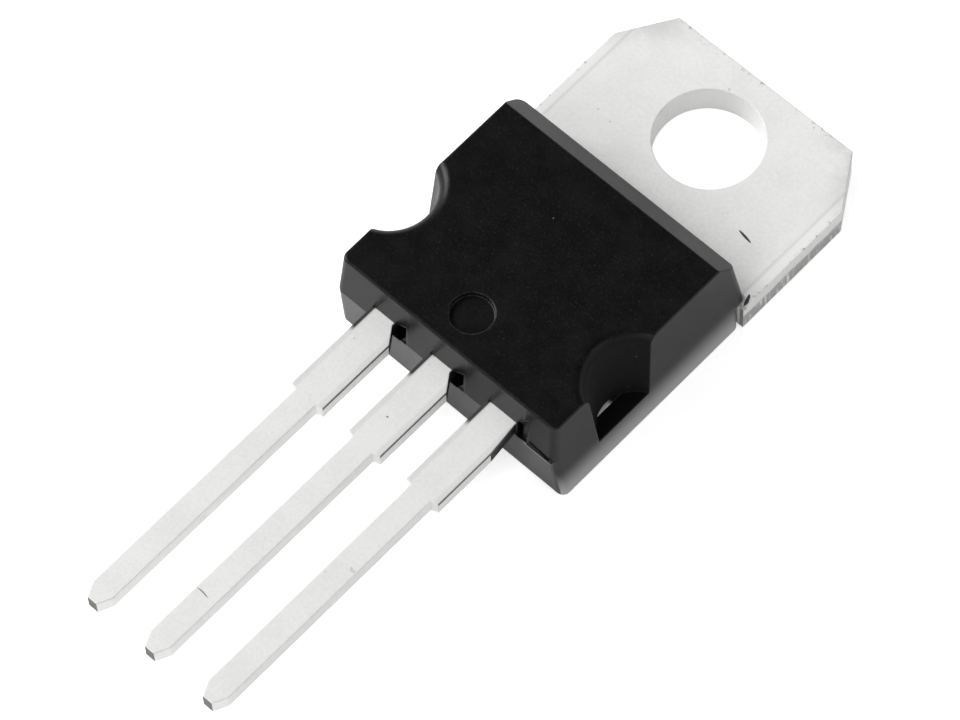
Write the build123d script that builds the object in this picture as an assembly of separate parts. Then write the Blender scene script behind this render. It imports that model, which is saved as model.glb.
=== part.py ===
from build123d import *
from math import atan2, tan
import os

# Voltage regulator in a three-lead tab package. Millimetres.
# X runs across the leads, +Y from the leads towards the tab, +Z out of the moulded front.
# The origin is the mounting hole's centre on the flat back, so the part lies on its back.

# tab and header: one plate of the thick strip
strip_thickness = 1.27
tab_width = 10.22
tab_top = 2.84
tab_bottom = -4.0
hole_radius = 1.92
corner_cut_x = 1.25
corner_cut_y = 1.97
header_width = 8.48
header_end = -10.3
lock_groove_y = -3.86
lock_groove_width = 0.5
lock_groove_depth = 0.25
rolled_edge_width = 0.3
rolled_edge_drop = 0.04

# leads: the thin part of the same strip
lead_pitch = 2.54
lead_thickness = 0.6
lead_top = 3.06
lead_bottom = lead_top - lead_thickness
root_width = 1.38
pin_width = 0.88
shoulder_y = -16.5
shoulder_slant = 0.08
tip_y = -26.3
tip_width = 0.4
tip_length = 0.5
deep_trim = 0.42
deep_trim_end = -13.4
slim_trim = 0.13
slim_trim_end = -14.05
rise_foot_y = -10.75
rise_head_y = -12.0
inner_bend_radius = 0.25
header_overlap = 0.2

# bonding posts, the inner ends of the two outer leads
post_inner = 1.6
post_outer = 3.55
post_top = -10.95
post_bottom = -12.25

# moulded body
body_height = 4.4
body_back_width = 9.96
body_front_width = 9.4
tab_end_foot = -3.62
tab_end_head = -4.0
tab_end_bevel = 0.8
lead_end_front = -12.58
lead_end_parting = -12.8
lead_end_back = -12.56
corner_round = 0.28
rim_round = 0.08

# channels above the leads, measured from each lead's centre line
channel_left_front = -0.2
channel_left_parting = -0.62
channel_right = 0.86
channel_depth = 0.05

# pockets beside the two deep-trimmed roots, measured from each lead's centre line
pocket_left = 0.2
pocket_left_head = 0.27
pocket_foot = 0.56
pocket_right = 0.8
pocket_right_head = 0.78
pocket_below = 0.1
pocket_shoulder = 0.29
pocket_above = 0.28
pocket_depth = 0.5

# deeper step and gap at the right of the right lead, measured from the lead's right edge
step_right = 0.4
step_rise = 0.75
step_depth = 0.12
gap_width = 0.11
gap_margin = 0.05
gap_depth = 0.5
recess_overlap = 0.1

# slit and lip on the parting line beside the right lead
slit_start = 3.72
slit_finish = 4.62
slit_z = 2.52
slit_height = 0.15
slit_fall = 0.1
slit_depth = 0.35
lip_reach = 0.05
lip_height = 0.3
lip_crown = 0.03
lip_overrun = 0.2
lip_root = 0.2

# clamp notches in the body's sides
notch_x = 5.4
notch_y = -9.55
notch_floor_radius = 1.3
notch_top_radius = 1.6
notch_flare = 0.4

# ejector-pin mark on the front face
mark_x = -0.16
mark_y = -11.24
mark_radius = 0.755
mark_depth = 0.2

# chip, solder and bond wires
die_size = 2.3
die_thickness = 0.28
die_y = -7.6
solder_thickness = 0.05
solder_margin = 0.1
die_top = strip_thickness + solder_thickness + die_thickness
wire_radius = 0.1
wire_sink = 0.035
wire_foot = 0.35
wire_bend = 0.25
wire_loop = 0.5
input_wire_feet = (-0.7, die_y - 0.5, die_top), (-2.5, -11.5, lead_top)
output_wire_feet = (0.7, die_y - 0.5, die_top), (2.3, -11.4, lead_top)
sense_wire_feet = (0.8, die_y + 0.4, die_top), (3.1, -11.4, lead_top)
ground_wire_feet = (0, die_y - 0.5, die_top), (0, -9.9, strip_thickness)

on_base = (Align.CENTER, Align.CENTER, Align.MIN)


def plate(points, thickness):
    """A flat plate: the outline given as (x, y) corners, standing on the plane Z = 0."""
    return extrude(Polygon(*points, align=None), thickness, dir=(0, 0, 1))


def across(points, width):
    """A bar along X, centred on X = 0, whose section is given as (y, z) corners."""
    return extrude(Plane.YZ * Polygon(*points, align=None), width / 2, both=True)


def along_y(points, length):
    """A bar along Y, centred on Y = 0, whose section is given as (x, z) corners."""
    return extrude(Plane.XZ * Polygon(*points, align=None), length / 2, both=True)


def mirrored(points):
    """Close a half outline, given from top to bottom at +X, by its mirror image at -X."""
    return list(points) + [(-x, y) for x, y in reversed(points)]


def tab_and_header():
    """The tab with its cut corners, hole and lock groove, and the narrower header below it."""
    half = tab_width / 2
    body = plate(mirrored([
        (half - corner_cut_x, tab_top),
        (half, tab_top - corner_cut_y),
        (half, tab_bottom),
        (header_width / 2, tab_bottom),
        (header_width / 2, header_end),
    ]), strip_thickness)
    sides = body.edges().filter_by(Axis.Y).filter_by_position(Axis.Z, strip_thickness, strip_thickness)
    for edge in sides.sort_by(lambda e: abs(e.center().X))[-2:]:
        face = body.faces().filter_by(Axis.Z).sort_by(Axis.Z)[-1]
        body = chamfer(edge, rolled_edge_width, rolled_edge_drop, reference=face)
    body -= Cylinder(hole_radius, 4 * strip_thickness)
    half_groove = lock_groove_width / 2
    return body - across([
        (lock_groove_y - half_groove, strip_thickness),
        (lock_groove_y, strip_thickness - lock_groove_depth),
        (lock_groove_y + half_groove, strip_thickness),
    ], 2 * tab_width)


def lead_plan(centre_x, inner_y, trim, trim_end):
    """The lead seen from the front: root, shoulders, pin and tapered tip, as a tall prism.

    The root's right corner is cut away by trim where it leaves the body, fading out at trim_end.
    """
    half_root = root_width / 2
    half_pin = pin_width / 2
    shoulder_foot = shoulder_y - shoulder_slant
    right = [
        (half_root - trim, inner_y),
        (half_root - trim, lead_end_parting),
        (half_root, trim_end),
        (half_root, shoulder_y),
        (half_pin, shoulder_foot),
        (half_pin, tip_y + tip_length),
        (tip_width / 2, tip_y),
    ]
    left = [
        (-tip_width / 2, tip_y),
        (-half_pin, tip_y + tip_length),
        (-half_pin, shoulder_foot),
        (-half_root, shoulder_y),
        (-half_root, inner_y),
    ]
    return Pos(centre_x, 0, 0) * plate(right + left, body_height)


def centre_lead():
    """The centre lead: it leaves the header's end and rises in two bends to the leads' level.

    The strip keeps its thickness through a bend, so each outer corner lies beyond its inner
    corner by the thickness times the tangent of half the turn.
    """
    foot_bottom = strip_thickness - lead_thickness
    start = header_end + header_overlap
    turn = atan2(lead_top - strip_thickness, rise_foot_y - rise_head_y)
    shift = lead_thickness * tan(turn / 2)
    outer_bend_radius = inner_bend_radius + lead_thickness
    outline = FilletPolyline(
        (start, strip_thickness),
        (rise_foot_y, strip_thickness),
        (rise_head_y, lead_top),
        (tip_y, lead_top),
        (tip_y, lead_bottom),
        (rise_head_y - shift, lead_bottom),
        (rise_foot_y - shift, foot_bottom),
        (start, foot_bottom),
        radius=[0, inner_bend_radius, outer_bend_radius, 0, 0, inner_bend_radius, outer_bend_radius, 0],
        close=True,
    )
    side = extrude(Plane.YZ * make_face(outline), root_width, both=True)
    return side & lead_plan(0, start, deep_trim, deep_trim_end)


def heat_sink_frame():
    """Tab, header and centre lead, stamped from one strip."""
    return tab_and_header() + centre_lead()


def outer_lead(side, trim, trim_end):
    """An outer lead with its wide bonding post inside the body; side is -1 left, 1 right."""
    flat = Pos(side * lead_pitch, 0, lead_bottom) * Box(
        3 * lead_pitch, 4 * abs(tip_y), lead_thickness, align=on_base
    )
    post = plate([
        (side * post_inner, post_bottom),
        (side * post_outer, post_bottom),
        (side * post_outer, post_top),
        (side * post_inner, post_top),
    ], body_height)
    return (lead_plan(side * lead_pitch, post_top, trim, trim_end) + post) & flat


def regulator_die():
    """The silicon chip."""
    return Pos(0, die_y, strip_thickness + solder_thickness) * Box(
        die_size, die_size, die_thickness, align=on_base
    )


def die_solder():
    """The solder film under the chip, a little larger than the chip."""
    size = die_size + 2 * solder_margin
    return Pos(0, die_y, strip_thickness) * Box(size, size, solder_thickness, align=on_base)


def bond_wire(start, finish):
    """A round wire looped from one bonding place to the other, with a foot along each surface.

    The feet are sunk a little, so that cutting away what they sink into leaves a flat sole.
    """
    lift = Vector(0, 0, wire_radius - wire_sink)
    start = Vector(*start) + lift
    finish = Vector(*finish) + lift
    along = Vector(finish.X - start.X, finish.Y - start.Y, 0).normalized()
    crest = max(start.Z, finish.Z) + wire_loop
    rise = start + along * wire_foot
    land = finish - along * wire_foot
    third = (land - rise).length / 3
    near = Vector(rise.X, rise.Y, crest) + along * third
    far = Vector(land.X, land.Y, crest) - along * third
    path = FilletPolyline(start, rise, near, far, land, finish, radius=wire_bend)
    return sweep(Plane(origin=start, z_dir=along) * Circle(wire_radius), path=path)


def body_block():
    """The moulded block: drafted sides and ends, the bevel at its tab end, rounded edges."""
    side_view = across([
        (tab_bottom, 0),
        (tab_bottom, strip_thickness),
        (tab_end_foot, strip_thickness),
        (tab_end_head, body_height - tab_end_bevel),
        (tab_end_head - tab_end_bevel, body_height),
        (lead_end_front, body_height),
        (lead_end_parting, lead_bottom),
        (lead_end_back, 0),
    ], 2 * body_back_width)
    end_view = along_y([
        (body_back_width / 2, 0),
        (body_front_width / 2, body_height),
        (-body_front_width / 2, body_height),
        (-body_back_width / 2, 0),
    ], 4 * abs(lead_end_parting))
    block = side_view & end_view
    upright = block.edges().filter_by(lambda e: abs(e.tangent_at(0.5).Z) > 0.9)
    block = fillet(upright, corner_round)
    front_face = block.faces().filter_by(Axis.Z).sort_by(Axis.Z)[-1]
    return fillet(front_face.edges(), rim_round)


def clamp_notch(side):
    """The notch left by a pin that holds the header down in the mould: a cone with a flared rim.

    The flare is what a ring of round section leaves of a short cylinder.
    """
    flare_start = body_height - notch_flare
    rim_radius = notch_top_radius + notch_flare
    slope = (notch_top_radius - notch_floor_radius) / (flare_start - strip_thickness)
    height = body_height - strip_thickness
    cone = Pos(0, 0, strip_thickness) * Cone(
        notch_floor_radius, notch_floor_radius + slope * height, height, align=on_base
    )
    mouth = Pos(0, 0, flare_start) * Cylinder(rim_radius, notch_flare, align=on_base)
    ring = Pos(0, 0, flare_start) * Torus(rim_radius, notch_flare)
    return Pos(side * notch_x, notch_y, 0) * (cone + (mouth - ring))


def lead_end_cut(outline, top_depth, parting_depth):
    """A cut into the sloping lead-end face, of the given (x, z) outline.

    Its floor lies top_depth behind the face at the front's edge and parting_depth behind it
    at the parting line.
    """
    reach = lead_end_parting - 1
    floor = across([
        (reach, body_height),
        (lead_end_front + top_depth, body_height),
        (lead_end_parting + parting_depth, lead_bottom),
        (lead_end_parting + parting_depth, 0),
        (reach, 0),
    ], 2 * body_back_width)
    return floor & along_y(outline, 4 * abs(lead_end_parting))


def lead_channel(centre_x):
    """The shallow channel above a lead, fading out at the front face."""
    return lead_end_cut([
        (centre_x + channel_left_front, body_height - rim_round),
        (centre_x + channel_left_parting, lead_top),
        (centre_x + channel_left_parting, lead_bottom),
        (centre_x + channel_right, lead_bottom),
        (centre_x + channel_right, body_height - rim_round),
    ], 0, channel_depth)


def trimmed_pocket(centre_x):
    """The torn-out pocket beside a trimmed root, reaching a little above the lead."""
    return lead_end_cut([
        (centre_x + pocket_left, lead_bottom - pocket_below),
        (centre_x + pocket_foot, lead_bottom - pocket_below),
        (centre_x + pocket_right, lead_bottom + pocket_shoulder),
        (centre_x + pocket_right_head, lead_top + pocket_above),
        (centre_x + pocket_left_head, lead_top),
    ], pocket_depth, pocket_depth)


def right_recess():
    """The deeper step and black gap at the right lead's right, and the slit beyond them."""
    edge = lead_pitch + root_width / 2
    inside = edge - recess_overlap
    step = lead_end_cut([
        (inside, lead_bottom),
        (edge + step_right, lead_bottom),
        (edge + step_right, lead_top + step_rise),
        (inside, lead_top + recess_overlap),
    ], step_depth, step_depth)
    gap = lead_end_cut([
        (inside, lead_bottom - gap_margin),
        (edge + gap_width, lead_bottom - gap_margin),
        (edge + gap_width, lead_top + gap_margin),
        (inside, lead_top + gap_margin),
    ], gap_depth, gap_depth)
    return step + gap + lead_end_cut([
        (slit_start, slit_z + slit_fall / 2),
        (slit_finish, slit_z - slit_fall / 2),
        (slit_finish, slit_z - slit_fall / 2 + slit_height),
        (slit_start, slit_z + slit_fall / 2 + slit_height),
    ], slit_depth, slit_depth)


def parting_lip():
    """The low lip of resin pressed out under the slit: flat above, sloping back to the face below."""
    behind = lead_end_parting + lip_root
    lip = extrude(Plane.YZ * Polygon(
        (behind, slit_z),
        (lead_end_parting - lip_reach, slit_z - lip_crown),
        (lead_end_parting + lip_reach, slit_z - lip_height),
        (behind, slit_z - lip_height),
        align=None,
    ), slit_finish + lip_overrun - slit_start, dir=(1, 0, 0))
    return Pos(slit_start - lip_overrun / 2, 0, 0) * lip


def moulded_body(inner_pieces):
    """The body with its notches, pin mark and lead-end details, moulded round the inner pieces."""
    body = body_block() + parting_lip()
    cuts = [clamp_notch(-1), clamp_notch(1), right_recess()]
    cuts += [lead_channel(x) for x in (-lead_pitch, 0, lead_pitch)]
    cuts += [trimmed_pocket(x) for x in (-lead_pitch, 0)]
    cuts.append(Pos(mark_x, mark_y, body_height) * Cylinder(mark_radius, 2 * mark_depth))
    for cut in cuts + inner_pieces:
        body -= cut
    return body


def build_all():
    """Every piece, by the name of its node."""
    frame = heat_sink_frame()
    input_lead = outer_lead(-1, deep_trim, deep_trim_end)
    output_lead = outer_lead(1, slim_trim, slim_trim_end)
    die = regulator_die()
    pieces = {
        "heat_sink_frame": frame,
        "input_lead": input_lead,
        "output_lead": output_lead,
        "regulator_die": die,
        "die_solder": die_solder(),
    }
    wire_places = {
        "input_wire": (*input_wire_feet, input_lead),
        "output_wire": (*output_wire_feet, output_lead),
        "sense_wire": (*sense_wire_feet, output_lead),
        "ground_wire": (*ground_wire_feet, frame),
    }
    for name, (start, finish, landing) in wire_places.items():
        pieces[name] = bond_wire(start, finish) - die - landing
    pieces["moulded_body"] = moulded_body(list(pieces.values()))
    return pieces


os.makedirs("parts", exist_ok=True)
for node, piece in build_all().items():
    export_step(piece, f"parts/{node}.step")
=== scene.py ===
import bpy
import numpy as np
from mathutils import Matrix


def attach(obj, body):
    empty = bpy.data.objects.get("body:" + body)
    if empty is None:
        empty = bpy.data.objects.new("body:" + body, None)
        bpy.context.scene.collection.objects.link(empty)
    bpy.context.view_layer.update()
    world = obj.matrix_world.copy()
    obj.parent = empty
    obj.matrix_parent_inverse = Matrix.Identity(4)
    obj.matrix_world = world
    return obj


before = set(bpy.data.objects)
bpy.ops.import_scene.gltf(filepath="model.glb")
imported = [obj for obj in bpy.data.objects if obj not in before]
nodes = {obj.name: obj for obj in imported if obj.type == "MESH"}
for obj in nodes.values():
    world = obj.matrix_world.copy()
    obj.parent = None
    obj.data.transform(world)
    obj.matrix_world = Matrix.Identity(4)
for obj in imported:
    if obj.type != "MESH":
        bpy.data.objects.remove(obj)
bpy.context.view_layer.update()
mm = 0.001


# --- Tab, header and leads -------------------------------------------------------------------
# One copper strip, thick at the tab and thin at the leads, stamped, tinned matte and later
# clipped apart: pale mottled faces, streaked sheared sides, dark ends where bare copper shows.

# Across the tab, out from its middle: the line the strip was rolled along, and its sheared edge.
rolled_line_inner = 4.66 * mm
rolled_line_outer = 4.78 * mm
rolled_edge = 4.76 * mm
tab_side = 5.025 * mm

# Along the strip, up from the leads' tips to the tab's top.
tip_ends = -26.1 * mm
shoulder_ends = -16.5 * mm
right_shadow_ends = -13.42 * mm
last_right_shadow_longer = 0.63 * mm
left_shadow_ends = -13.75 * mm
root_ends = -11 * mm
notch_black_starts = -9.475 * mm
notch_black_ends = -8.05 * mm
tab_starts = -4.05 * mm
tab_top = 2.675 * mm

# The leads: their pitch, how far their edges and the painted shadow along the left edge lie from
# the middle, and the front of their steps.
pitch = 2.54 * mm
lead_edge_out = 0.5 * mm
left_shadow_out = 0.57 * mm
last_lead_from = 1.5 * mm
lead_front_edge = 2.92 * mm

# The grey of rubbed tin, on every face; also laid as painted shade along the rolled line, the
# leads' root edges and the tab's corners.
scuff_and_shade_grey = (0.4, 0.4, 0.39, 1)


def add(tree, kind, settings=None, **inputs):
    """One shader node: settings are its properties, inputs are values or other nodes' sockets.

    An input's key is its socket name with _ for a space, or i0, i1... for a socket by number.
    """
    made = tree.nodes.new(kind)
    for key, value in (settings or {}).items():
        setattr(made, key, value)
    for key, value in inputs.items():
        numbered = key[0] == "i" and key[1:].isdigit()
        socket = made.inputs[int(key[1:]) if numbered else key.replace("_", " ")]
        if isinstance(value, bpy.types.NodeSocket):
            tree.links.new(value, socket)
        else:
            socket.default_value = value
    return made


def calc(tree, operation, first, second=0.0):
    """The result of a sum, product or comparison of two values."""
    return add(tree, "ShaderNodeMath", {"operation": operation}, i0=first, i1=second).outputs[0]


def between(tree, value, low, high):
    """0 where value is at low, 1 where it is at high, rising smoothly from one to the other."""
    made = add(tree, "ShaderNodeMapRange", {"interpolation_type": "SMOOTHSTEP"},
               Value=value, From_Min=low, From_Max=high)
    return made.outputs[0]


def past(tree, value, place, soft):
    """1 where value is past place and 0 where it isn't, changing over soft on either side."""
    return between(tree, value, place - soft, place + soft)


def short_of(tree, value, place, soft):
    """1 where value is short of place and 0 where it isn't, changing over soft on either side."""
    return between(tree, value, place + soft, place - soft)


def all_of(tree, *shares):
    """The product of several values from 0 to 1: high only where all of them are."""
    product = shares[0]
    for share in shares[1:]:
        product = calc(tree, "MULTIPLY", product, share)
    return product


def lay(tree, colour, over, patch, share=1.0):
    """The colour with another laid over it where patch is 1, as thickly as share says."""
    if share != 1.0:
        patch = calc(tree, "MULTIPLY", patch, share)
    made = add(tree, "ShaderNodeMix", {"data_type": "RGBA"}, i0=patch, i6=colour, i7=over)
    return made.outputs[2]


def grain(tree, place, size, detail=3.0, roughness=0.6):
    """Cloudy noise from 0 to 1 whose lumps are about size metres across."""
    made = add(tree, "ShaderNodeTexNoise", {"noise_dimensions": "3D"}, Vector=place,
               Scale=1 / size, Detail=detail, Roughness=roughness)
    return made.outputs["Fac"]


def mixed(tree, first, first_share, second, second_share):
    """The sum of two values, each times its own share."""
    return calc(tree, "ADD", calc(tree, "MULTIPLY", first, first_share),
                calc(tree, "MULTIPLY", second, second_share))


def apart(tree, vector):
    """The three parts of a place, a direction or a colour."""
    return add(tree, "ShaderNodeSeparateXYZ", i0=vector).outputs


def new_finish(name):
    """A material with an empty surface, its node tree, and the place and normal finishes read."""
    finish = bpy.data.materials.new(name)
    finish.use_nodes = True
    tree = finish.node_tree
    tree.nodes.clear()
    place = add(tree, "ShaderNodeTexCoord").outputs["Object"]
    flat = add(tree, "ShaderNodeNewGeometry").outputs["Normal"]
    return finish, tree, place, flat


def close_finish(tree, shader):
    """Makes shader the finish's surface."""
    out = add(tree, "ShaderNodeOutputMaterial")
    tree.links.new(shader.outputs[0], out.inputs["Surface"])


def tin_faces(tree, place, y, half_width, lumps, crystals):
    """The tin's flat faces: mottled, with scuffs at the rims, painted highlight and shade at the
    rolled edge and painted shade at the corners.
    """
    pale = (0.94, 0.94, 0.93, 1)
    cloudy = (0.87, 0.87, 0.86, 1)
    highlight_pale = (0.95, 0.95, 0.94, 1)
    on_tab = past(tree, y, tab_starts, 0.05 * mm)
    mottle = mixed(tree, lumps, 0.5, crystals, 0.6)
    colour = lay(tree, pale, cloudy, between(tree, mottle, 0.42, 0.7))
    colour = lay(tree, colour, scuff_and_shade_grey, short_of(tree, y, root_ends - 0.5 * mm, 0.5 * mm), 0.17)

    # Painted shade as a darker line where the rolled edge starts, and a painted highlight on the
    # rolled strip beyond it.
    rolled_line_shade = all_of(tree, on_tab, past(tree, half_width, rolled_line_inner, 0.04 * mm),
                         short_of(tree, half_width, rolled_line_outer, 0.04 * mm))
    colour = lay(tree, colour, scuff_and_shade_grey, rolled_line_shade, 0.22)
    rolled_strip_highlight = all_of(tree, on_tab, past(tree, half_width, rolled_edge, 0.04 * mm))
    colour = lay(tree, colour, highlight_pale, rolled_strip_highlight, 0.7)

    # Painted shade towards the tab's corners, patchy with the lumps.
    to_corner = calc(tree, "ADD", half_width, y)
    shaded_corner = all_of(tree, past(tree, to_corner, 5.95 * mm, 1.05 * mm),
                         between(tree, lumps, 0.3, 0.6))
    colour = lay(tree, colour, scuff_and_shade_grey, shaded_corner, 0.45)
    rim = calc(tree, "MAXIMUM", past(tree, y, tab_top, 0.125 * mm),
               past(tree, half_width, tab_side - 0.01 * mm, 0.065 * mm))
    scuffs = between(tree, grain(tree, place, 0.22 * mm, 4, 0.7), 0.57, 0.66)
    colour = lay(tree, colour, scuff_and_shade_grey, all_of(tree, on_tab, rim, scuffs))
    pocks = between(tree, grain(tree, place, 0.3 * mm, 2), 0.72, 0.78)
    return lay(tree, colour, scuff_and_shade_grey, pocks, 0.5)


def tin_sides(tree, z, nx, half_width, lumps, streaks):
    """The sheared sides: burnished above and, on the tab, torn below an uneven line."""
    burnished = (0.9, 0.9, 0.89, 1)
    cloudy = (0.87, 0.87, 0.86, 1)
    torn = (0.38, 0.38, 0.37, 1)
    side = lay(tree, burnished, cloudy, between(tree, streaks, 0.4, 0.75))
    tear_line = calc(tree, "ADD", calc(tree, "MULTIPLY", lumps, 0.35 * mm), 0.5 * mm)
    over_line = calc(tree, "SUBTRACT", z, tear_line)
    tear = all_of(tree, short_of(tree, over_line, 0.035 * mm, 0.085 * mm),
                  between(tree, calc(tree, "ABSOLUTE", nx), 0.8, 0.9),
                  past(tree, half_width, tab_side, 0.025 * mm))
    side = lay(tree, side, torn, tear, 0.85)
    return lay(tree, side, cloudy, all_of(tree, tear, between(tree, streaks, 0.5, 0.7)))


def tinned_finish(name):
    """Matte tin over stamped copper, with its sheared sides, cut ends and scuffs."""
    bare_end = (0.12, 0.11, 0.1, 1)
    # Near black, laid as painted shadow on the leads' roots and on the header in the notch.
    near_black = (0.008, 0.008, 0.008, 1)
    dark_grey = (0.1, 0.1, 0.1, 1)
    finish, tree, place, flat = new_finish(name)
    x, y, z = apart(tree, place)
    nx, ny, nz = apart(tree, flat)
    half_width = calc(tree, "ABSOLUTE", x)
    lumps = grain(tree, place, 1.3 * mm, 4)
    crystals = grain(tree, place, 0.14 * mm, 2)
    pits = grain(tree, place, 0.05 * mm, 2)
    upright_drawn = add(tree, "ShaderNodeMapping", {"vector_type": "POINT"}, Vector=place,
                        Scale=(1, 1, 0.12)).outputs[0]
    streaks = grain(tree, upright_drawn, 0.12 * mm, 3)
    colour = tin_faces(tree, place, y, half_width, lumps, crystals)

    # The leads' roots, between the body and the shoulders: painted shade along their edges and a
    # painted black shadow along the left edge by the body.
    root = all_of(tree, past(tree, y, shoulder_ends, 0.02 * mm),
                  short_of(tree, y, root_ends, 1 * mm))
    out_of_middle = add(tree, "ShaderNodeMath", {"operation": "PINGPONG"}, i0=x,
                        i1=pitch / 2).outputs[0]
    lead_edge_shade = all_of(tree, root, past(tree, out_of_middle, lead_edge_out, 0.05 * mm))
    colour = lay(tree, colour, scuff_and_shade_grey, lead_edge_shade, 0.2)
    own_middle = calc(tree, "MULTIPLY", calc(tree, "ROUND", calc(tree, "DIVIDE", x, pitch)), pitch)
    off_middle = calc(tree, "SUBTRACT", x, own_middle)
    # Painted black shadow along each lead's left edge just outside the body.
    left_edge_shadow = all_of(tree, root, short_of(tree, off_middle, -left_shadow_out, 0.03 * mm),
                     past(tree, y, left_shadow_ends, 0.15 * mm))
    colour = lay(tree, colour, near_black, left_edge_shadow, 0.95)

    upright = between(tree, calc(tree, "ABSOLUTE", nz), 0.7, 0.3)
    side = tin_sides(tree, z, nx, half_width, lumps, streaks)
    colour = lay(tree, colour, side, upright)

    # Their right sides: a painted black shadow near the body, and darker along the front edge.
    right_side = between(tree, nx, 0.6, 0.8)
    last_lead = calc(tree, "GREATER_THAN", x, last_lead_from)
    right_shadow_reach = calc(tree, "SUBTRACT", right_shadow_ends,
                     calc(tree, "MULTIPLY", last_lead, last_right_shadow_longer))
    right_side_shadow = calc(tree, "GREATER_THAN", y, right_shadow_reach)
    colour = lay(tree, colour, near_black, all_of(tree, right_side, root, right_side_shadow))
    # Darker along the right sides' front edge.
    dark_front_edge = past(tree, z, lead_front_edge, 0.02 * mm)
    colour = lay(tree, colour, dark_grey, all_of(tree, right_side, root, dark_front_edge))

    # Painted shade on the tab's shoulders by the body, black laid on the header inside the notch,
    # and the bare cut tips.
    shoulder_shade = all_of(tree, between(tree, ny, -0.7, -0.9), past(tree, y, tab_starts, 0.05 * mm),
                      past(tree, half_width, 4.945 * mm, 0.045 * mm))
    colour = lay(tree, colour, dark_grey, shoulder_shade, 0.8)
    # Black laid on the header inside the clamp notch.
    notch_header_black = all_of(tree, past(tree, half_width, 4.025 * mm, 0.025 * mm),
                        past(tree, y, notch_black_starts, 0.125 * mm),
                        short_of(tree, y, notch_black_ends, 0.05 * mm))
    colour = lay(tree, colour, near_black, notch_header_black)
    tip = all_of(tree, between(tree, ny, -0.8, -0.95), short_of(tree, y, tip_ends, 0.1 * mm))
    colour = lay(tree, colour, bare_end, tip)

    rough = calc(tree, "ADD", calc(tree, "MULTIPLY", crystals, 0.25), 0.36)
    heights = mixed(tree, crystals, 0.7, pits, 0.5)
    heights = calc(tree, "ADD", heights,
                   calc(tree, "MULTIPLY", all_of(tree, streaks, upright), 0.6))
    soft_edge = add(tree, "ShaderNodeBevel", {"samples": 6}, Radius=0.06 * mm).outputs[0]
    bump = add(tree, "ShaderNodeBump", Strength=0.35, Distance=0.02 * mm, Height=heights,
               Normal=soft_edge)
    surface = add(tree, "ShaderNodeBsdfPrincipled", Base_Color=colour, Roughness=rough,
                  Normal=bump.outputs[0], Metallic=0.2, IOR=1.5)
    close_finish(tree, surface)
    return finish


def dress(piece, finish):
    """Gives the piece this one finish."""
    piece.data.materials.clear()
    piece.data.materials.append(finish)


tin = tinned_finish("matte_tin")
for name in ("heat_sink_frame", "input_lead", "output_lead"):
    dress(nodes[name], tin)


# --- Moulded body ----------------------------------------------------------------------------
# Black mineral-filled epoxy pressed round the header and the leads' roots in a steel mould:
# spark-eroded matte grain, a few pale filler specks, slightly rubbed edges.

notch_centre_out = 5.4 * mm
notch_centre_up = -9.55 * mm
notch_rim = 1.85 * mm
side_starts = 4.65 * mm
parting_height = 2.4 * mm

# The slit on the parting line beside the right lead, and the lip under it.
slit_left = 3.72 * mm
slit_right = 4.62 * mm
slit_foot = 2.95 * mm
slit_head = 3.18 * mm
slit_slope = 0.11
lip_left = 3.5 * mm
lip_right = 4.8 * mm
lip_foot = 2.23 * mm
lip_head = 2.5 * mm


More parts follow.
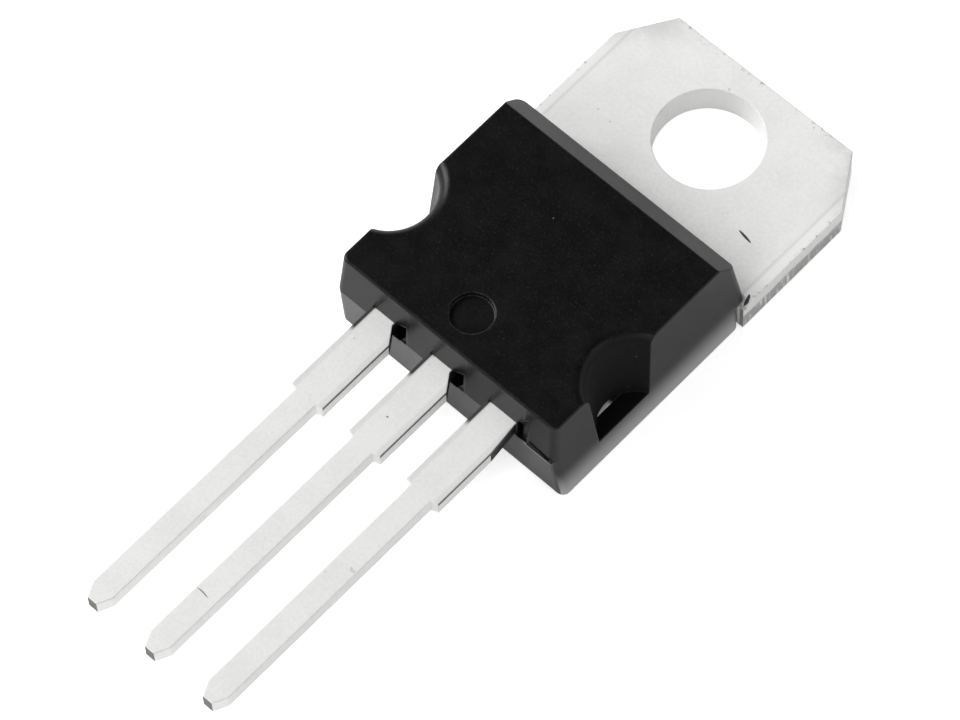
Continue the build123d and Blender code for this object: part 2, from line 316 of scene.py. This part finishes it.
def epoxy_finish(name):
    """Black epoxy with a fine eroded grain and sparse pale filler specks."""
    black = (0.004, 0.004, 0.0043, 1)
    dusty = (0.007, 0.007, 0.0073, 1)
    rubbed = (0.03, 0.03, 0.031, 1)
    side_table_reflection = (0.5, 0.5, 0.5, 1)
    shadow_black = (0.0015, 0.0015, 0.0015, 1)
    lip_highlight_grey = (0.3, 0.3, 0.3, 1)
    front_table_reflection = (0.04, 0.04, 0.0405, 1)
    speck = (0.12, 0.12, 0.118, 1)
    speck_spacing = 0.55 * mm
    finish, tree, place, flat = new_finish(name)
    x, y, z = apart(tree, place)
    nx, ny, _ = apart(tree, flat)
    half_width = calc(tree, "ABSOLUTE", x)
    clouds = grain(tree, place, 0.9 * mm, 3)
    eroded = grain(tree, place, 0.07 * mm, 3)
    colour = lay(tree, black, dusty, between(tree, clouds, 0.35, 0.7))
    colour = lay(tree, colour, rubbed, between(tree, eroded, 0.56, 0.76), 0.6)

    # The outer sides carry a painted reflection of the white table towards the foot, more on the
    # right; the clamp notches don't.
    across_notch = calc(tree, "SUBTRACT", half_width, notch_centre_out)
    along_notch = calc(tree, "SUBTRACT", y, notch_centre_up)
    from_notch = calc(tree, "SQRT", calc(tree, "ADD", calc(tree, "POWER", across_notch, 2),
                                         calc(tree, "POWER", along_notch, 2)))
    notch_wall = all_of(tree, short_of(tree, from_notch, notch_rim, 0.1 * mm),
                        between(tree, calc(tree, "ABSOLUTE", ny), 0.4, 0.6))
    on_side = all_of(tree, between(tree, calc(tree, "ABSOLUTE", nx), 0.35, 0.6),
                     past(tree, half_width, side_starts, 0.05 * mm),
                     calc(tree, "SUBTRACT", 1, notch_wall))
    low_down = all_of(tree, short_of(tree, z, 0.7 * mm, 1 * mm), past(tree, x, -2.5 * mm, 5.5 * mm))
    colour = lay(tree, colour, side_table_reflection, all_of(tree, on_side, low_down))

    # The lead end: a painted reflection of the table under the parting line, a painted highlight on
    # the lip and painted shadow in the slit.
    lead_end = between(tree, ny, -0.8, -0.95)
    under_parting = all_of(tree, lead_end, short_of(tree, z, parting_height, 0.02 * mm))
    colour = lay(tree, colour, front_table_reflection, under_parting)
    # Painted highlight on the lip under the slit.
    lip = all_of(tree, lead_end, past(tree, x, lip_left, 0.1 * mm),
                 short_of(tree, x, lip_right, 0.05 * mm), past(tree, z, lip_foot, 0.03 * mm),
                 short_of(tree, z, lip_head, 0.02 * mm))
    colour = lay(tree, colour, lip_highlight_grey, lip)
    # Painted shadow in the slit.
    level = calc(tree, "ADD", z, calc(tree, "MULTIPLY", x, slit_slope))
    slit = all_of(tree, between(tree, ny, -0.3, -0.5), past(tree, x, slit_left, 0.04 * mm),
                  short_of(tree, x, slit_right, 0.04 * mm), past(tree, level, slit_foot, 0.02 * mm),
                  short_of(tree, level, slit_head, 0.02 * mm))
    colour = lay(tree, colour, shadow_black, slit)
    # Painted shade inside the right clamp notch.
    right_notch_shade = all_of(tree, short_of(tree, from_notch, notch_rim - 0.125 * mm, 0.125 * mm),
                            past(tree, x, 0, 1 * mm), calc(tree, "SUBTRACT", 1, on_side))
    colour = lay(tree, colour, shadow_black, right_notch_shade)

    # Rubbed edges and filler specks: one cell of the pattern in seven shows a speck.
    soft_edge = add(tree, "ShaderNodeBevel", {"samples": 8}, Radius=0.09 * mm).outputs[0]
    square = add(tree, "ShaderNodeVectorMath", {"operation": "DOT_PRODUCT"}, i0=soft_edge, i1=flat)
    edge = between(tree, square.outputs["Value"], 0.995, 0.93)
    colour = lay(tree, colour, rubbed, all_of(tree, edge, between(tree, eroded, 0.4, 0.65)))
    cells = add(tree, "ShaderNodeTexVoronoi", {"feature": "F1"}, Vector=place,
                Scale=1 / speck_spacing)
    near = between(tree, cells.outputs["Distance"], 0.06, 0.03)
    picked = calc(tree, "GREATER_THAN", apart(tree, cells.outputs["Color"])[0], 0.86)
    colour = lay(tree, colour, speck, all_of(tree, near, picked))

    rough = calc(tree, "ADD", calc(tree, "MULTIPLY", eroded, 0.2), 0.22)
    shadowed = calc(tree, "MAXIMUM", right_notch_shade, slit)
    rough = calc(tree, "ADD", rough, calc(tree, "MULTIPLY", shadowed, 0.5))
    bump = add(tree, "ShaderNodeBump", Strength=0.4, Distance=0.012 * mm, Height=eroded,
               Normal=soft_edge)
    surface = add(tree, "ShaderNodeBsdfPrincipled", Base_Color=colour, Roughness=rough,
                  Normal=bump.outputs[0], IOR=1.32)
    close_finish(tree, surface)
    return finish


dress(nodes["moulded_body"], epoxy_finish("black_epoxy"))


# --- Chip, solder film and bond wires --------------------------------------------------------
# Sealed inside the epoxy: a silicon chip on a film of soft solder, joined to the leads' posts
# and to the header by four drawn aluminium wires.

def inner_finish(name, first, second, lump, metallic, rough_low, rough_high):
    """A plain cloudy finish between two colours, with a roughness that follows the clouds."""
    finish, tree, place, _ = new_finish(name)
    clouds = grain(tree, place, lump, 3)
    colour = lay(tree, first, second, between(tree, clouds, 0.35, 0.65))
    rough = add(tree, "ShaderNodeMapRange", Value=clouds, To_Min=rough_low,
                To_Max=rough_high).outputs[0]
    bump = add(tree, "ShaderNodeBump", Strength=0.2, Distance=0.004 * mm, Height=clouds)
    surface = add(tree, "ShaderNodeBsdfPrincipled", Base_Color=colour, Roughness=rough,
                  Normal=bump.outputs[0], Metallic=metallic)
    close_finish(tree, surface)
    return finish


silicon = inner_finish("silicon", (0.1, 0.11, 0.14, 1), (0.16, 0.17, 0.2, 1),
                       lump=0.3 * mm, metallic=0.4, rough_low=0.12, rough_high=0.22)
solder = inner_finish("soft_solder", (0.45, 0.45, 0.46, 1), (0.6, 0.6, 0.6, 1),
                      lump=0.15 * mm, metallic=0.9, rough_low=0.35, rough_high=0.5)
drawn = inner_finish("drawn_aluminium", (0.75, 0.76, 0.77, 1), (0.86, 0.87, 0.88, 1),
                     lump=0.1 * mm, metallic=1.0, rough_low=0.25, rough_high=0.4)
for name, finish, slot_name in (
    ("regulator_die", silicon, "silicon"),
    ("die_solder", solder, "solder"),
    ("input_wire", drawn, "wire_metal"),
    ("output_wire", drawn, "wire_metal"),
    ("sense_wire", drawn, "wire_metal"),
    ("ground_wire", drawn, "wire_metal"),
):
    dress(nodes[name], finish)


# --- Nicks, burrs and a sliver of painted shade ----------------------------------------------
# What handling left on the tin: a gouge beside the hole, two nicks on the centre lead and a
# turned-up burr on the tab's right edge, with a dark sliver of painted shade at that edge by the
# body. Each is a thin lens of metal in the face.

def lens(name, start, end, width, height, bow, sides=10, stations=25):
    """A thin closed sliver from start to end (x, y, z in mm).

    The path is the straight line bowed sideways by bow times a half sine; round it a flattened
    ring of half width and half height shrinks to nothing at both ends as the root of a half sine.
    """
    start, end = np.array(start), np.array(end)
    share = np.linspace(0, 1, stations)[:, None]
    turn = np.linspace(0, 2 * np.pi, sides, endpoint=False)[None, :]
    forward = (end - start) / np.linalg.norm(end - start)
    sideways = np.array([-forward[1], forward[0], 0])
    upwards = np.array([0, 0, 1])
    swell = np.sqrt(np.sin(np.pi * share[1:-1]))
    path = (start + share * (end - start) + bow * np.sin(np.pi * share) * sideways)[1:-1]
    ring = (path[:, None, :]
            + (swell * np.cos(turn))[:, :, None] * width / 2 * sideways
            + (swell * np.sin(turn))[:, :, None] * height / 2 * upwards)
    points = np.vstack([ring.reshape(-1, 3), start, end]) * mm

    rings = len(path)
    row = np.arange(rings - 1)[:, None] * sides
    column = np.arange(sides)[None, :]
    following = (column + 1) % sides
    quads = np.stack([row + column, row + following,
                      row + sides + following, row + sides + column], -1).reshape(-1, 4)
    start_pole = rings * sides
    end_pole = start_pole + 1
    last_row = (rings - 1) * sides
    column, following = column[0], following[0]
    start_fan = np.stack([following, column, np.full(sides, start_pole)], -1)
    end_fan = np.stack([last_row + column, last_row + following, np.full(sides, end_pole)], -1)

    mesh = bpy.data.meshes.new(name)
    mesh.from_pydata(points.tolist(), [], quads.tolist() + start_fan.tolist() + end_fan.tolist())
    mesh.shade_smooth()
    piece = bpy.data.objects.new(name, mesh)
    bpy.context.collection.objects.link(piece)
    return piece


# Dark gouged tin, also used for the sliver of painted shade by the body.
gouge_and_shade_dark = inner_finish("gouge_and_shade_tin", (0.02, 0.02, 0.02, 1), (0.1, 0.1, 0.1, 1),
                      lump=0.05 * mm, metallic=0.3, rough_low=0.5, rough_high=0.7)
nicked = inner_finish("nicked_tin", (0.2, 0.2, 0.2, 1), (0.4, 0.4, 0.4, 1),
                      lump=0.05 * mm, metallic=0.4, rough_low=0.5, rough_high=0.7)
turned_up = inner_finish("turned_up_tin", (0.7, 0.7, 0.7, 1), (0.9, 0.9, 0.9, 1),
                         lump=0.05 * mm, metallic=0.6, rough_low=0.3, rough_high=0.5)

# Heights of the tab's and the leads' fronts over the back, then each sliver's two ends, width,
# height and bow, in mm.
tab_front = 1.27
lead_front = 3.06
for name, start, end, width, height, bow, metal in (
    ("tab_gouge", (3.04, -1.9, tab_front), (3.66, -2.0, tab_front), 0.09, 0.012, 0.0, gouge_and_shade_dark),
    ("ground_pin_nick", (-0.41, -23.73, lead_front), (0.11, -23.77, lead_front),
     0.05, 0.01, 0.02, nicked),
    ("ground_root_nick", (-0.16, -15.32, lead_front), (-0.06, -15.3, lead_front),
     0.06, 0.01, 0, nicked),
    # A dark sliver standing as painted shade where the tab's edge meets the body.
    ("tab_corner_shade", (4.89, -3.45, tab_front - 0.02), (5.0, -3.86, tab_front - 0.1),
     0.14, 0.2, 0.03, gouge_and_shade_dark),
    ("tab_edge_burr", (5.05, -3.15, tab_front - 0.05), (5.04, -3.5, tab_front - 0.05),
     0.08, 0.1, 0, turned_up),
):
    sliver = lens(name, start, end, width, height, bow)
    dress(sliver, metal)
    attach(sliver, "root")


# --- Floor, light and camera -----------------------------------------------------------------
# A white table just under the part, soft lamps to the left, in front and to the right, and a
# dark ceiling, so that the black front stays black while its sloping sides mirror the table.

floor_reach = 4.0
floor_drop = 0.00002
floor_glow = 0.55
mirrored_floor_glow = 0.02
ceiling_light = 0.35
mirrored_ceiling = 0.01

corners = np.array([[-1, -1], [1, -1], [1, 1], [-1, 1]]) * floor_reach
floor_mesh = bpy.data.meshes.new("table")
floor_mesh.from_pydata([(x, y, -floor_drop) for x, y in corners.tolist()], [], [(0, 1, 2, 3)])
floor = bpy.data.objects.new("table", floor_mesh)
bpy.context.collection.objects.link(floor)
paper, tree, place, _ = new_finish("white_paper")
fibres = grain(tree, place, 3 * mm, 4)
paper_colour = lay(tree, (0.93, 0.93, 0.93, 1), (0.95, 0.95, 0.95, 1),
                   between(tree, fibres, 0.3, 0.7))
matte = add(tree, "ShaderNodeBsdfDiffuse", Color=paper_colour)
rays = add(tree, "ShaderNodeLightPath").outputs
glow_strength = mixed(tree, rays["Is Camera Ray"], floor_glow,
                      rays["Is Glossy Ray"], mirrored_floor_glow)
glow = add(tree, "ShaderNodeEmission", Strength=glow_strength)
lit = add(tree, "ShaderNodeAddShader", i0=matte.outputs[0], i1=glow.outputs[0])
close_finish(tree, lit)
dress(floor, paper)

# White where the camera sees it and where a mirrored ray leaves low down, dim and dark above.
world = bpy.data.worlds.new("studio")
world.use_nodes = True
bpy.context.scene.world = world
tree = world.node_tree
tree.nodes.clear()
height = apart(tree, add(tree, "ShaderNodeTexCoord").outputs["Generated"])[2]
rays = add(tree, "ShaderNodeLightPath").outputs
mirrored_low_sky = all_of(tree, rays["Is Glossy Ray"], between(tree, height, 0.5, 0.2))
seen = calc(tree, "MAXIMUM", rays["Is Camera Ray"], mirrored_low_sky)
ceiling = add(tree, "ShaderNodeMapRange", Value=rays["Is Glossy Ray"], To_Min=ceiling_light,
              To_Max=mirrored_ceiling).outputs[0]
sky = add(tree, "ShaderNodeBackground", Color=(1, 1, 1, 1),
          Strength=calc(tree, "MAXIMUM", seen, ceiling))
out = add(tree, "ShaderNodeOutputWorld")
tree.links.new(sky.outputs[0], out.inputs["Surface"])


def stood(right, up, back, place):
    """The pose of a lamp or camera at place whose own x, y and z point right, up and back."""
    pose = np.eye(4)
    pose[:3, :3] = np.array([right, up, back]).T
    pose[:3, 3] = place
    return Matrix(pose.tolist())


def soft_lamp(name, place, aim, size, watts):
    """A square lamp at place, facing aim, its lower edge level."""
    data = bpy.data.lights.new(name, "AREA")
    data.size = size
    data.energy = watts
    lamp = bpy.data.objects.new(name, data)
    back = np.array(place, float) - np.array(aim, float)
    back /= np.linalg.norm(back)
    side = np.cross([0, 0, 1], back)
    side /= np.linalg.norm(side)
    lamp.matrix_world = stood(side, np.cross(back, side), back, place)
    bpy.context.collection.objects.link(lamp)


middle = (0, -0.011, 0)
soft_lamp("left_lamp", (-0.44, -0.14, 0.4), middle, size=0.35, watts=3.1)
soft_lamp("front_lamp", (0.05, -0.55, 0.4), middle, size=0.35, watts=1.2)
soft_lamp("right_lamp", (0.5, 0.15, 0.4), middle, size=0.3, watts=0.5)

# The camera looks down at the front from beyond the leads, to the right, tipped a little.
turn, tilt, roll = np.radians([45.465, 62.423, -2.822])
distance = 0.179572
aim = np.array([0.000108, -0.011245, 0.0015])
back = np.array([np.cos(tilt) * np.sin(turn), -np.cos(tilt) * np.cos(turn), np.sin(tilt)])
level = np.array([np.cos(turn), np.sin(turn), 0])
right = np.cos(roll) * level + np.sin(roll) * np.cross(back, level)
data = bpy.data.cameras.new("camera")
data.sensor_width = 36
data.lens = 207.34
data.clip_start = 0.005
data.clip_end = 20
camera = bpy.data.objects.new("camera", data)
camera.matrix_world = stood(right, np.cross(back, right), back, aim + distance * back)
bpy.context.collection.objects.link(camera)
bpy.context.scene.camera = camera
bpy.context.scene.view_settings.view_transform = "Standard"
